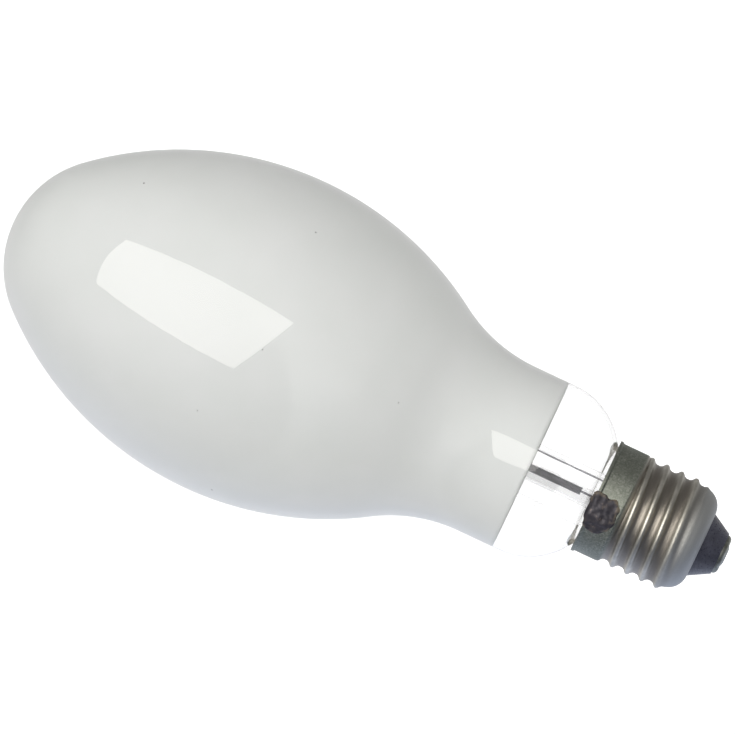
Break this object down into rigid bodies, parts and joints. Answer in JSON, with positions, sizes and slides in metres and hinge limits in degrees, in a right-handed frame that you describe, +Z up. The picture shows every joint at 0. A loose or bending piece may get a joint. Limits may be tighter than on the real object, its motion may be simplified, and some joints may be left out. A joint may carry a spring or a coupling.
{
  "type": "mercury vapor lamp",
  "caption": "Pear-shaped discharge lamp: white-coated glass bulb with a clear neck, glass stem, quartz arc tube on a wire frame, and a threaded metal cap.",
  "frame": {"origin": "centre of the flat tip of the centre contact", "axes": "+Z up the lamp's axis from the contact to the dome; the side lead's solder faces -Y; the arc tube's frame rod is at -X"},
  "size_m": [0.0754, 0.0754, 0.1762],
  "materials": {
    "bulb_glass": "clear blown borosilicate glass, smooth and glossy",
    "phosphor_powder": "matt white powder coat",
    "cap_metal": "nickel plated brass sheet, dulled to a greenish grey",
    "insulator_glass": "black moulded glass, glossy",
    "contact_metal": "nickel plated pressed metal, worn satin",
    "solder": "dull tin solder with burnt flux",
    "cap_cement": "tan baked cement, rough",
    "stem_glass": "clear drawn glass tube",
    "seal_wire": "oxidised tungsten seal wire",
    "lead_wire": "drawn wire, dull grey",
    "sleeve": "dark woven glass fibre sleeve",
    "nickel": "nickel plated steel, satin",
    "quartz": "clear fused quartz",
    "tungsten": "dark tungsten",
    "molybdenum": "rolled molybdenum foil and drawn wire",
    "mercury": "liquid mirror",
    "ceramic": "glazed ceramic"
  },
  "bodies": {
    "root": {"outer_bulb": "bulb_glass", "phosphor_coating": "phosphor_powder", "cap_shell": "cap_metal", "cap_insulator": "insulator_glass", "centre_contact": "contact_metal", "centre_solder": "solder", "cap_cement": "cap_cement", "side_solder": "solder", "stem_flare": "stem_glass", "exhaust_tube": "stem_glass", "press_seal_wires": "seal_wire", "centre_outer_lead": "lead_wire", "side_outer_lead": "lead_wire", "side_lead_sleeve": "sleeve", "centre_inner_lead": "nickel", "support_frame": "nickel", "arc_tube": "quartz", "upper_electrode_rod": "tungsten", "lower_electrode_rod": "tungsten", "upper_electrode_coil": "tungsten", "lower_electrode_coil": "tungsten", "starting_electrode": "tungsten", "upper_seal_foil": "molybdenum", "lower_seal_foil": "molybdenum", "starting_seal_foil": "molybdenum", "upper_seal_lead": "molybdenum", "lower_seal_lead": "molybdenum", "starting_seal_lead": "molybdenum", "mercury_bead": "mercury", "upper_pinch_clamp": "nickel", "lower_pinch_clamp": "nickel", "upper_ribbon": "nickel", "lower_ribbon": "nickel", "starting_resistor": "ceramic", "resistor_end_caps": "nickel", "resistor_leads": "lead_wire"}
  },
  "joints": []
}
